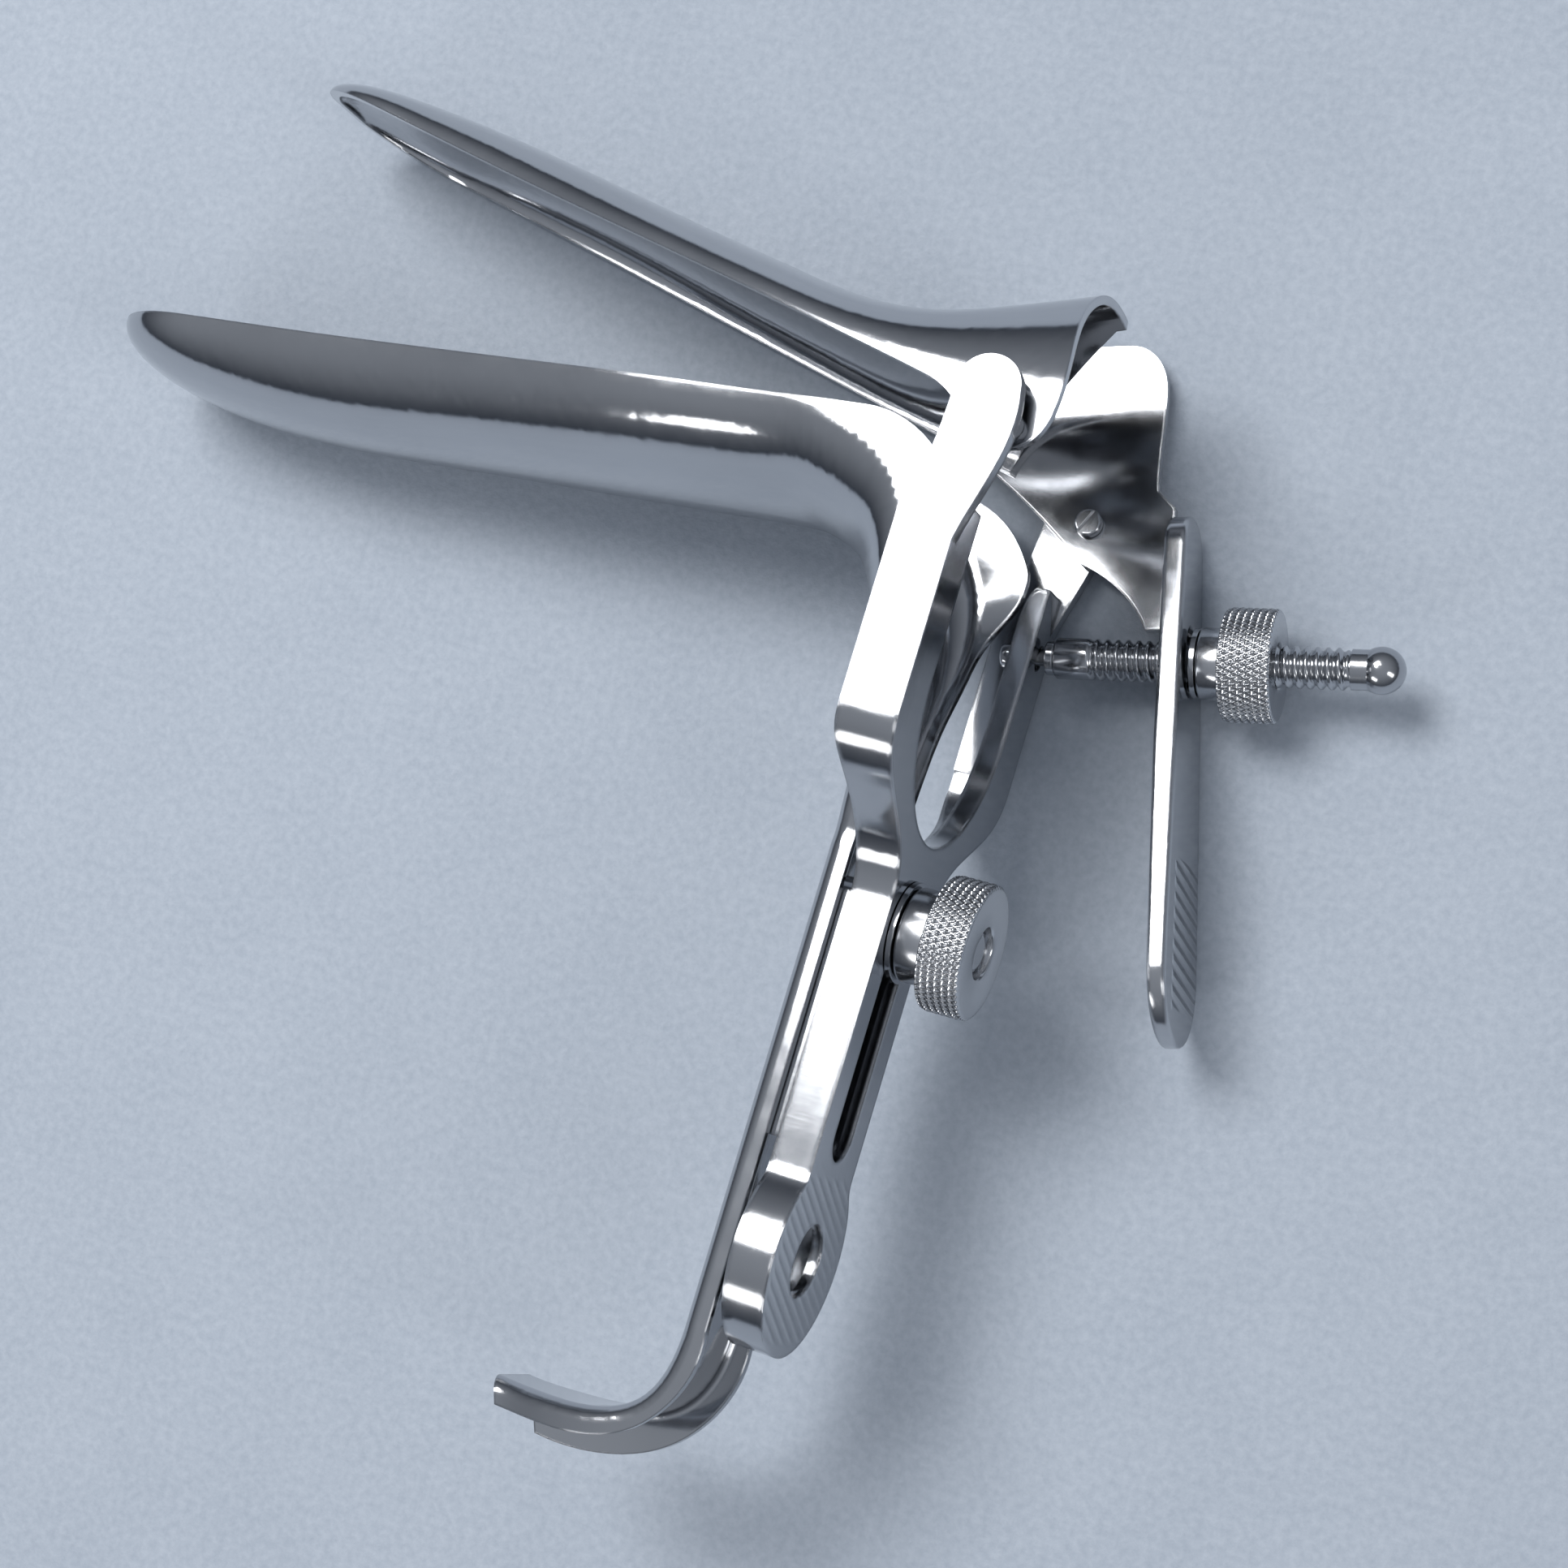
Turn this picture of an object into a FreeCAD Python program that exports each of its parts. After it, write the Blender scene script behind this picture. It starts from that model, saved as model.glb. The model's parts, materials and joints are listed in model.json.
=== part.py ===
import FreeCAD, Part
import math
import os

from FreeCAD import Vector as V

# Bivalve vaginal speculum of stainless sheet, blades about 95 mm long.
# Working frame while building: X runs rearward, Y up the handle, Z towards the near
# side, with the middle plane at Z = 0 and the lock stud's axis along X through (0, 0, 0).
# At the end the whole instrument is laid on its far side, as it rests on a table.

# Travel of the moving pieces from where they stand
CLOSE_ANGLE = 15.5
OPEN_MORE = 12.0
YOKE_UP = 22.0
YOKE_DOWN = 1.8
ROD_TRAVEL_PER_RAD = 17.6
ROD_SWING_RATIO = 0.70
NUT_BACK = 4.8
NUT_FORWARD = 3.75

# Sheets and clearances
BLADE_SHEET = 1.2
YOKE_SHEET = 1.4
PLATE_SHEET = 1.4
SLIDE_GAP = 0.3
PIVOT_GAP = 0.05
RIVET_GAP = 0.02
FACE_GAP = 0.1

# Lower blade with its channel handle, measured on the outer (convex) skin
LOWER_BLADE_SLOPE = 3.1
LOWER_BLADE_LENGTH = 95.0
LOWER_DEPTH = 10.2
LOWER_TIP_HALF = 13.4
LOWER_NECK_HALF = 17.4
TIP_ROUND = 14.0
TIP_RISE = 40.0
NECK_RADIUS = 18.7
CHANNEL_FRONT = -9.2
CHANNEL_HALF = 8.0
CHANNEL_DEPTH = 3.0
CHANNEL_BEND = 1.8
NECK_CENTRE_Y = 24.9
HOOK_START_Y = -48.5
HOOK_FLOOR_Y = -61.0
HOOK_REACH = 21.0
HOOK_TIP_HALF = 5.6
WALL_REAR = -3.2

# Upper blade, in a frame on its pivot with the rim along X; it stands open by OPEN_ANGLE
PIVOT_X = 1.3
PIVOT_Y = 54.8
OPEN_ANGLE = 14.5
UPPER_BLADE_LENGTH = 110.9
UPPER_RIM = 1.05
UPPER_DEPTH = 6.2
UPPER_TIP_HALF = 13.2
MOUTH_HALF = 19.1
MOUTH_BACK = 21.4
MOUTH_EASE = 7.0
MOUTH_SLOPE = 0.73
MOUTH_REAR = -3.2
FAR_WALL_END = -13.4

# Yoke: forked channel pressing that slides on the handle
YOKE_EAR_SHEET = 2.0
EAR_ROOM = 1.7
YOKE_HALF = MOUTH_HALF + EAR_ROOM + YOKE_EAR_SHEET
ARM_DEPTH = 7.0
STEM_HALF = 7.4
STEM_DEPTH = 5.0
STEM_KEY_SHEET = 1.4
FORK_HALF = 15.6
FORK_BOTTOM = 10.0
FORK_ROUND = 17.0
WEB_TOP = 45.2
SHOULDER_TOP = 21.0
SHOULDER_BOTTOM = 2.5
FORK_LIP_DEPTH = 2.8
EAR_FRONT = -4.8
EAR_REAR = 2.7
EAR_TOP = 61.4
PAD_HALF = 11.2
PAD_CENTRE_Y = -38.4
PAD_HOLE = 8.6
SLOT_WIDTH = 6.2
SLOT_TOP = 5.2
SLOT_BOTTOM = -27.0
BEND_ROUND = 1.2

# Side plate and thumb lever
LEVER_TILT = 14.3
LEVER_WIDTH = 10.8
LEVER_LOW_WIDTH = 19.0
LEVER_SHEET = 2.7
LEVER_END_SHEET = 2.0
LEVER_TOP_Y = 57.6
LEVER_TOP_X = 11.2
LEVER_LENGTH = 63.5
LEVER_SLOT_LENGTH = 8.0

# Screw rod, nuts and stud
ROD_Z = -19.1
ROD_ANCHOR_Y = 37.4
ROD_TILT = 10.8
ROD_DIAMETER = 5.0
ROD_CORE = 4.1
ROD_PITCH = 1.25
ROD_NECK = 2.0
ROD_HEAD = 3.0
ROD_HEAD_REACH = 4.2
ROD_HEAD_LENGTH = 2.2
ROD_THREAD_START = 8.0
ROD_THREAD_END = 38.1
ROD_END = 41.0
BALL_DIAMETER = 5.6
BALL_CENTRE = 41.6
COLLAR_DIAMETER = 4.2
COLLAR_START = 1.7
COLLAR_LENGTH = 1.2
ROD_NUT_START = 20.45
ROD_NUT_HUB = 8.6
ROD_NUT_HUB_LENGTH = 3.0
ROD_NUT_HEAD = 13.6
ROD_NUT_HEAD_LENGTH = 6.2
WASHER_SHEET = 0.6
STUD_SHOULDER = 9.0
STUD_GUIDE = 5.6
STUD_THREAD = 5.0
HANDLE_NUT_HUB = 11.0
HANDLE_NUT_HUB_LENGTH = 3.6
HANDLE_NUT_HEAD = 15.8
HANDLE_NUT_HEAD_LENGTH = 5.2
NUT_RECESS = 8.4
NUT_RECESS_DEPTH = 3.4
SCREW_SHANK = 1.9
SCREW_HEAD = 3.4
SCREW_HEAD_HEIGHT = 1.1
SCREW_SLOT = 0.8

EYE = FreeCAD.Placement()


def turn(shape, angle, point=V(0, 0, 0), axis=V(0, 0, 1)):
    """Copy of the shape, turned about an axis through a point."""
    out = shape.copy()
    out.rotate(point, axis, angle)
    return out


def line(a, b):
    return Part.LineSegment(a, b).toShape()


def quarter(a, corner, b):
    """Quarter of an ellipse from a to b, tangent to both legs of the corner."""
    curve = Part.BezierCurve()
    curve.setPoles([a, corner, b])
    curve.setWeight(2, math.sqrt(0.5))
    return curve.toShape()


def extrude_xy(edges, z0, z1):
    """Solid between two heights on a closed outline drawn in the XY plane."""
    face = Part.Face(Part.Wire(Part.sortEdges(edges)[0]))
    face.translate(V(0, 0, z0))
    return face.extrude(V(0, 0, z1 - z0))


def extrude_zy(edges, x0, x1):
    """Solid between two X planes on a closed outline drawn in the plane X = 0."""
    face = Part.Face(Part.Wire(Part.sortEdges(edges)[0]))
    face.translate(V(x0, 0, 0))
    return face.extrude(V(x1 - x0, 0, 0))


def polyline(points):
    return [line(a, b) for a, b in zip(points, points[1:] + points[:1])]


def rod(radius, start, end, centre=(0, 0)):
    """Cylinder along X from start to end, with its axis through (Y, Z) = centre."""
    return Part.makeCylinder(radius, end - start, V(start, centre[0], centre[1]), V(1, 0, 0))


def trough_section(origin, normal, half, side, bend_side, bend_floor):
    """Closed U section: flat floor, rounded corners and straight sides."""
    def at(s, n):
        return origin + normal * n + V(0, 0, s)
    flat = half - bend_side
    edges = [
        line(at(-half, side), at(-half, bend_floor)),
        quarter(at(-half, bend_floor), at(-half, 0), at(-flat, 0)),
        line(at(-flat, 0), at(flat, 0)),
        quarter(at(flat, 0), at(half, 0), at(half, bend_floor)),
        line(at(half, bend_floor), at(half, side)),
        line(at(half, side), at(-half, side)),
    ]
    return Part.Wire(edges)


def smooth(value, low, high):
    """Eases from 0 to 1 while value goes from low to high."""
    t = min(max((value - low) / (high - low), 0.0), 1.0)
    return t * t * (3 - 2 * t)


def blend(a, b, t):
    return a + (b - a) * t


def oval(distance, length):
    """Height of a quarter ellipse of unit height at this distance from its tip."""
    t = min(max(distance / length, 0.0), 1.0)
    return math.sqrt(1 - (1 - t) ** 2)


# Lower blade: one pressed trough from the blade's tip, round the neck, down the
# handle as a channel and round the hook at its end

SLOPE = math.radians(LOWER_BLADE_SLOPE)
ALONG = V(math.cos(SLOPE), math.sin(SLOPE), 0)
UPRIGHT = V(-math.sin(SLOPE), math.cos(SLOPE), 0)
NECK_CENTRE = V(CHANNEL_FRONT - NECK_RADIUS, NECK_CENTRE_Y, 0)
NECK_START = NECK_CENTRE + UPRIGHT * NECK_RADIUS
HOOK_POLES = [V(CHANNEL_FRONT, HOOK_START_Y, 0), V(CHANNEL_FRONT, HOOK_FLOOR_Y + 0.7, 0),
              V(CHANNEL_FRONT - 6.0, HOOK_FLOOR_Y - 0.5, 0), V(CHANNEL_FRONT - HOOK_REACH, HOOK_FLOOR_Y, 0)]
NEAR_HOOK_DEPTH = (CHANNEL_DEPTH, 3.0, 3.0, 3.1)
FAR_HOOK_DEPTH = (CHANNEL_DEPTH, 3.8, 4.8, 6.2)
NECK_TURN = 90 + LOWER_BLADE_SLOPE


def lower_half_width(distance):
    """Half width of the lower blade at this distance from its tip."""
    body = blend(LOWER_TIP_HALF, LOWER_NECK_HALF - 0.6, smooth(distance, 25, LOWER_BLADE_LENGTH))
    return body * oval(distance, TIP_ROUND)


def lower_blade_skin(inset):
    """Blade and neck as a filled trough, offset inwards by inset."""
    wires = []
    top = LOWER_DEPTH + 14.0
    for distance in (0.5, 1.3, 2.6, 4.5, 7.5, 11, 16, 24, 36, 52, 68, 82, LOWER_BLADE_LENGTH):
        half = lower_half_width(distance)
        depth = LOWER_DEPTH * oval(distance, TIP_RISE)
        shift = inset if distance < TIP_RISE else 0
        origin = NECK_START - ALONG * (LOWER_BLADE_LENGTH - distance - shift)
        half = half - inset * half / LOWER_TIP_HALF
        depth = depth - inset * depth / LOWER_DEPTH
        floor = LOWER_DEPTH - depth
        bend = (max(half - 0.3, 0.6 * half), max(depth - 0.2, 0.7 * depth))
        wires.append(trough_section(origin + UPRIGHT * floor, UPRIGHT, half, top - floor, *bend))
    for step in (18, 36, 52, 66, 80, NECK_TURN):
        normal = turn_vector(UPRIGHT, -step)
        narrow = smooth(step, 48, NECK_TURN + 26)
        half = blend(LOWER_NECK_HALF, CHANNEL_HALF, narrow) - inset
        depth = blend(LOWER_DEPTH, CHANNEL_BEND, smooth(step, 30, NECK_TURN)) - inset
        origin = NECK_CENTRE + normal * (NECK_RADIUS + inset)
        side = blend(16.0, 9.0, smooth(step, 50, NECK_TURN))
        bend = (blend(half - 0.3, CHANNEL_BEND - inset, smooth(step, 20, NECK_TURN)), depth)
        wires.append(trough_section(origin, normal, half, side, *bend))
    for height in (17.0, 11.0, 7.0):
        narrow = smooth(NECK_TURN + 26 * (NECK_CENTRE_Y - height) / 17.6, 48, NECK_TURN + 26)
        half = blend(LOWER_NECK_HALF, CHANNEL_HALF, narrow) - inset
        bend = (CHANNEL_BEND - inset, CHANNEL_BEND - inset)
        wires.append(trough_section(V(CHANNEL_FRONT + inset, height, 0), V(1, 0, 0), half, 9.0, *bend))
    return Part.makeLoft(wires, True, False)


def turn_vector(vector, angle):
    rotation = FreeCAD.Rotation(V(0, 0, 1), angle)
    return rotation.multVec(vector)


def hook_point(share, depth=0.0):
    """A point on the hook's front skin at this share of its run, and the way out from its curl."""
    path = Part.BezierCurve()
    path.setPoles(HOOK_POLES)
    tangent = path.tangent(share)[0]
    outward = V(-tangent.y, tangent.x, 0)
    return path.value(share) + outward * depth, outward


def handle_skin(inset):
    """Straight channel and the hook's curl as a filled trough, offset inwards by inset."""
    half = CHANNEL_HALF - inset
    bend = (CHANNEL_BEND - inset, CHANNEL_BEND - inset)
    top = trough_section(V(CHANNEL_FRONT + inset, 7.0, 0), V(1, 0, 0), half, 9.0, *bend)
    foot = trough_section(V(CHANNEL_FRONT + inset, HOOK_START_Y, 0), V(1, 0, 0), half, 9.0, *bend)
    straight = Part.makeLoft([top, foot], True, True)
    wires = []
    for share in (0, 0.14, 0.28, 0.42, 0.56, 0.7, 0.85, 1.0):
        origin, outward = hook_point(share, inset)
        width = blend(CHANNEL_HALF, HOOK_TIP_HALF, smooth(share, 0.6, 1.1)) - inset
        wires.append(trough_section(origin, outward, width, 9.0, *bend))
    return straight.fuse(Part.makeLoft(wires, True, False))


def lower_rim_outline(hook_depth):
    """Side view kept of the lower blade, with the flange's depth at four places round the hook."""
    tip = NECK_START - ALONG * (LOWER_BLADE_LENGTH + 3) + UPRIGHT * LOWER_DEPTH
    rim_end = NECK_START + ALONG * 13.5 + UPRIGHT * LOWER_DEPTH
    wall_corner = rim_end + ALONG * 4.6 - UPRIGHT * 1.0
    wall_mid = V(-6.2, 50.4, 0)
    wall_rear = V(WALL_REAR, 44.0, 0)
    channel_rear = CHANNEL_FRONT + CHANNEL_DEPTH
    waist = V(channel_rear, 33.0, 0)
    corner = Part.BSplineCurve()
    corner.interpolate([rim_end, wall_corner, wall_mid, V(WALL_REAR - 0.7, 47.4, 0), wall_rear],
                       InitialTangent=ALONG, FinalTangent=V(0, -1, 0))
    sweep = Part.BezierCurve()
    sweep.setPoles([wall_rear, V(WALL_REAR, 40.5, 0), V(channel_rear, 38.5, 0), waist])
    curl = [V(channel_rear, HOOK_START_Y, 0)]
    for share, depth in zip((0.25, 0.5, 0.75), hook_depth[1:]):
        curl.append(hook_point(share, depth)[0])
    lip = V(HOOK_POLES[3].x - 0.4, HOOK_FLOOR_Y + 1.5, 0)
    end_depth = 1.5 + hook_depth[3]
    curl.append(V(lip.x + 0.4 * end_depth, lip.y - end_depth, 0))
    rim = Part.BSplineCurve()
    rim.interpolate(curl, InitialTangent=V(0, -1, 0))
    far = V(-140, lip.y, 0)
    return [
        line(tip, rim_end),
        corner.toShape(),
        sweep.toShape(),
        line(waist, curl[0]),
        rim.toShape(),
        line(curl[-1], lip),
        line(lip, far),
        line(far, V(-140, tip.y, 0)),
        line(V(-140, tip.y, 0), tip),
    ]


def make_lower_blade():
    outer = lower_blade_skin(0).fuse(handle_skin(0))
    inner = lower_blade_skin(BLADE_SHEET).fuse(handle_skin(BLADE_SHEET))
    shell = outer.cut(inner)
    near = shell.common(extrude_xy(lower_rim_outline(NEAR_HOOK_DEPTH), 0, 30))
    far = shell.common(extrude_xy(lower_rim_outline(FAR_HOOK_DEPTH), -30, 0))
    body = near.fuse(far).removeSplitter()
    stud_hole = rod(STUD_GUIDE / 2 + RIVET_GAP, CHANNEL_FRONT - 1, CHANNEL_FRONT + 4)
    return body.cut(stud_hole)


# Upper blade: a shallower trough that rises into an arched mouth, with a near ear
# round the pivot; its far wall stops short and carries the side plate

PIVOT = V(PIVOT_X, PIVOT_Y, 0)


def to_open(shape):
    """From the upper blade's own frame to its open place on the instrument."""
    out = turn(shape, -OPEN_ANGLE)
    out.translate(PIVOT)
    return out


def mouth_rise(distance):
    """Extra height of the crown where the blade flares into its mouth."""
    run = distance - (UPPER_BLADE_LENGTH - MOUTH_BACK)
    return MOUTH_SLOPE / 2 * (run + math.sqrt(run * run + MOUTH_EASE ** 2))


def upper_blade_skin(inset):
    """Blade and arched mouth as a filled trough, offset inwards by inset."""
    wires = []
    down = V(0, -1, 0)
    tip_end, mouth = 16.0, UPPER_BLADE_LENGTH - 18.9
    middle = [tip_end + (mouth - tip_end) * share / 19 for share in (2, 5, 9, 12.5, 15, 17)]
    for distance in (0.5, 1.3, 2.6, 4.5, 7.5, 11, tip_end, *middle, mouth, mouth + 8, mouth + 16, mouth + 22, mouth + 28):
        rise = mouth_rise(distance) * smooth(distance, 20, 60)
        x = distance - UPPER_BLADE_LENGTH + (inset if distance < TIP_RISE else 0)
        body = blend(UPPER_TIP_HALF, MOUTH_HALF, smooth(distance, 25, mouth + 4))
        half = body * oval(distance, TIP_ROUND)
        depth = UPPER_DEPTH * oval(distance, TIP_RISE)
        half = half - inset * half / body
        depth = depth - inset * depth / UPPER_DEPTH
        crown = UPPER_RIM + depth + rise
        side = crown + 8.0
        bend_side = max(half - 0.3, 0.6 * half)
        bend_crown = max(depth - 0.2, 0.7 * depth) + rise * 0.88
        wires.append(trough_section(V(x, crown, 0), down, half, side, bend_side, bend_crown))
    return Part.makeLoft(wires, True, False)


def upper_side_outline():
    """Side view kept of the upper blade: rim line, ear round the pivot, rear lip."""
    front = V(-UPPER_BLADE_LENGTH - 3, UPPER_RIM, 0)
    run_in = V(-12.0, UPPER_RIM, 0)
    ear_rear = V(3.7, 2.8, 0)
    lip = V(MOUTH_REAR - 1.8, 26.0, 0)
    ear = Part.BSplineCurve()
    ear.interpolate([run_in, V(-6.6, -0.5, 0), V(-1.5, -2.8, 0), V(1.6, -1.9, 0), ear_rear],
                    InitialTangent=V(1, 0, 0), FinalTangent=V(0, 1, 0))
    rear = Part.BSplineCurve()
    rear.interpolate([ear_rear, V(2.4, 8.3, 0), V(-0.7, 15.2, 0), V(MOUTH_REAR, 21.4, 0), lip],
                     InitialTangent=V(0, 1, 0))
    above = V(-UPPER_BLADE_LENGTH - 3, lip.y, 0)
    return [line(front, run_in), ear.toShape(), rear.toShape(), line(lip, above), line(above, front)]


def far_wall_cut():
    """The far side behind the mouth, which the side plate takes over, seen from above."""
    points = [(MOUTH_REAR - 0.4, -3.6), (FAR_WALL_END + 2.5, -MOUTH_HALF + 4.0), (FAR_WALL_END, -MOUTH_HALF - 3),
              (20, -MOUTH_HALF - 3), (20, -3.6)]
    corners = [V(x, -20, z) for x, z in points]
    face = Part.Face(Part.makePolygon(corners + corners[:1]))
    return face.extrude(V(0, 60, 0))


def make_upper_blade():
    shell = upper_blade_skin(0).cut(upper_blade_skin(BLADE_SHEET))
    body = shell.common(extrude_xy(upper_side_outline(), -30, 30))
    body = body.cut(far_wall_cut())
    bore = SCREW_SHANK / 2 + PIVOT_GAP
    body = body.cut(Part.makeCylinder(bore, 30, V(0, 0, 0), V(0, 0, 1)))
    return to_open(body)


# Side plate: the upper blade's far ear, brazed on outside its wall and carried rearward
# to the thumb lever

PLATE_IN = -MOUTH_HALF
PLATE_OUT = PLATE_IN - PLATE_SHEET


def make_side_plate():
    """Flat sheet outside the blade's far wall, in the blade's frame."""
    front_low = V(-26.8, 1.9, 0)
    front_top = V(-26.8, 5.4, 0)
    under = V(1.4, -4.7, 0)
    arc_end = V(12.75, -8.2, 0)
    lower = Part.BSplineCurve()
    lower.interpolate([front_low, V(-14.0, 0.2, 0), V(-6.0, -2.0, 0), under], InitialTangent=V(1, -0.02, 0))
    notch = Part.BSplineCurve()
    notch.interpolate([under, V(6.0, -5.0, 0), V(9.9, -6.3, 0), arc_end],
                      InitialTangent=V(1, -0.2, 0))
    nose = Part.Arc(front_low, V(-28.4, 3.6, 0), front_top).toShape()
    upper = Part.BSplineCurve()
    upper.interpolate([front_top, V(-20.5, 12.4, 0), V(-12.4, 18.8, 0), V(-6.6, 22.0, 0)])
    corner = Part.BSplineCurve()
    corner.interpolate([V(-6.6, 22.0, 0), V(-4.3, 22.2, 0), V(-1.2, 20.4, 0), V(0.6, 17.6, 0), V(3.0, 12.4, 0), V(5.5, 7.5, 0)],
                       InitialTangent=V(1, 0.35, 0))
    edges = [nose, lower.toShape(), notch.toShape(), line(arc_end, LEVER_TAIL), line(LEVER_TAIL, LEVER_ROOT),
             line(LEVER_ROOT, V(8.4, 6.5, 0)), line(V(8.4, 6.5, 0), V(5.5, 7.5, 0)), corner.toShape(), upper.toShape()]
    body = extrude_xy(edges, PLATE_OUT, PLATE_IN)
    body = round_edges(body, 0.45, lambda e: True)
    bore = SCREW_SHANK / 2 + PIVOT_GAP
    body = body.cut(Part.makeCylinder(bore, 60, V(0, 0, -30), V(0, 0, 1)))
    return to_open(body)


def to_blade_frame(point):
    """A point on the open instrument, in the upper blade's own frame."""
    return turn_vector(point - PIVOT, OPEN_ANGLE)


TILT = math.radians(LEVER_TILT)
LEVER_DOWN = V(math.sin(TILT), -math.cos(TILT), 0)
LEVER_BACK = V(math.cos(TILT), math.sin(TILT), 0)
LEVER_TOP = V(LEVER_TOP_X, LEVER_TOP_Y, 0)
LEVER_ROOT = to_blade_frame(LEVER_TOP + LEVER_DOWN * 1.6)
LEVER_TAIL = to_blade_frame(LEVER_TOP + LEVER_DOWN * 13.6)

ROD_AXIS = turn_vector(V(1, 0, 0), ROD_TILT)
ROD_ANCHOR = V(-YOKE_SHEET / 2, ROD_ANCHOR_Y, ROD_Z)


def lever_crossing():
    """How far down the lever the screw rod's axis meets it."""
    gap = ROD_ANCHOR - LEVER_TOP
    cross = ROD_AXIS.x * LEVER_DOWN.y - ROD_AXIS.y * LEVER_DOWN.x
    return (gap.x * -ROD_AXIS.y + gap.y * ROD_AXIS.x) / cross


def make_thumb_lever():
    """Straight paddle, wider and thinner towards its rounded end, slotted for the screw rod."""
    half = LEVER_WIDTH / 2
    low_half = LEVER_LOW_WIDTH / 2
    length = LEVER_LENGTH
    waist = length * 0.45
    side = [V(0, 0, 0), V(LEVER_SHEET, 0, 0), V(LEVER_SHEET, -waist, 0), V(LEVER_SHEET, -length, 0),
            V(LEVER_SHEET - LEVER_END_SHEET, -length, 0), V(0, -waist, 0)]
    body = extrude_xy(polyline(side), -low_half - 1, low_half + 1)
    shoulder = 4.5
    toe = length - low_half * 0.9
    flank = Part.BSplineCurve()
    flank.interpolate([V(0, -shoulder, half), V(0, -20.0, 6.75), V(0, -36.0, 8.1), V(0, -toe, low_half)],
                      FinalTangent=V(0, -1, 0))
    near = [quarter(V(0, 0, 0), V(0, 0, half), V(0, -shoulder, half)), flank.toShape(),
            quarter(V(0, -toe, low_half), V(0, -length, low_half), V(0, -length, 0))]
    far = [e.mirror(V(0, 0, 0), V(0, 0, 1)) for e in near]
    body = body.common(extrude_zy(near + far, -5, 10))
    crossing = lever_crossing()
    slot_half = ROD_DIAMETER / 2 + SLIDE_GAP
    run = LEVER_SLOT_LENGTH / 2 - slot_half
    slot = rod(slot_half, -5, 10, (-crossing - run, 0)).fuse(rod(slot_half, -5, 10, (-crossing + run, 0)))
    slot = slot.fuse(Part.makeBox(15, 2 * run, 2 * slot_half, V(-5, -crossing - run, -slot_half)))
    body = body.cut(slot)
    body = round_edges(body, 0.5, lambda e: True)
    body.rotate(V(0, 0, 0), V(0, 0, 1), LEVER_TILT)
    body.translate(LEVER_TOP + V(0, 0, ROD_Z))
    return body


def round_edges(body, radius, keep):
    """Rounds the edges that keep names; an edge that can't be rounded stays sharp."""
    edges = [e for e in body.Edges if keep(e)]
    try:
        rounded = body.makeFillet(radius, edges)
    except Exception:
        return body
    return body if rounded.isNull() or not rounded.isValid() else rounded


# Yoke: stem in the handle's channel, a fork round the neck and an ear on each arm

def yoke_outline(inset, base):
    """Closed rear view of the yoke without its ears, inset from the outer skin."""
    arm = YOKE_HALF - inset
    stem = STEM_HALF - inset
    pad = PAD_HALF - inset
    neck_low = PAD_CENTRE_Y + math.sqrt((pad + 3.0) ** 2 - (stem + 3.0) ** 2) if pad > stem else PAD_CENTRE_Y
    right = []
    shoulder = Part.BezierCurve()
    shoulder.setPoles([V(0, SHOULDER_TOP, arm), V(0, SHOULDER_TOP - 9, arm),
                       V(0, SHOULDER_BOTTOM + 9.5, stem), V(0, SHOULDER_BOTTOM, stem)])
    blend_z = (stem + 3.0) * pad / (pad + 3.0)
    blend_y = PAD_CENTRE_Y + (neck_low - PAD_CENTRE_Y) * pad / (pad + 3.0)
    fillet_mid = V(0, neck_low, stem + 3.0) + V(0, -1.5, -2.6)
    right.append(line(V(0, base, 0), V(0, base, arm)))
    right.append(line(V(0, base, arm), V(0, SHOULDER_TOP, arm)))
    right.append(shoulder.toShape())
    right.append(line(V(0, SHOULDER_BOTTOM, stem), V(0, neck_low, stem)))
    right.append(Part.Arc(V(0, neck_low, stem), fillet_mid, V(0, blend_y, blend_z)).toShape())
    angle = math.atan2(blend_y - PAD_CENTRE_Y, blend_z)
    middle = V(0, PAD_CENTRE_Y + pad * math.sin((angle - math.pi / 2) / 2),
               pad * math.cos((angle - math.pi / 2) / 2))
    right.append(Part.Arc(V(0, blend_y, blend_z), middle, V(0, PAD_CENTRE_Y - pad, 0)).toShape())
    left = [e.mirror(V(0, 0, 0), V(0, 0, 1)) for e in right]
    return right + left


def fork_opening(inset, top):
    """Rear view of the gap between the arms, grown by inset."""
    half = FORK_HALF + inset
    bottom = FORK_BOTTOM - inset
    corner = FORK_BOTTOM + FORK_ROUND
    edges = [
        line(V(0, top, -half), V(0, corner, -half)),
        quarter(V(0, corner, -half), V(0, bottom, -half), V(0, bottom, 0)),
        quarter(V(0, bottom, 0), V(0, bottom, half), V(0, corner, half)),
        line(V(0, corner, half), V(0, top, half)),
        line(V(0, top, half), V(0, top, -half)),
    ]
    return edges


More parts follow.
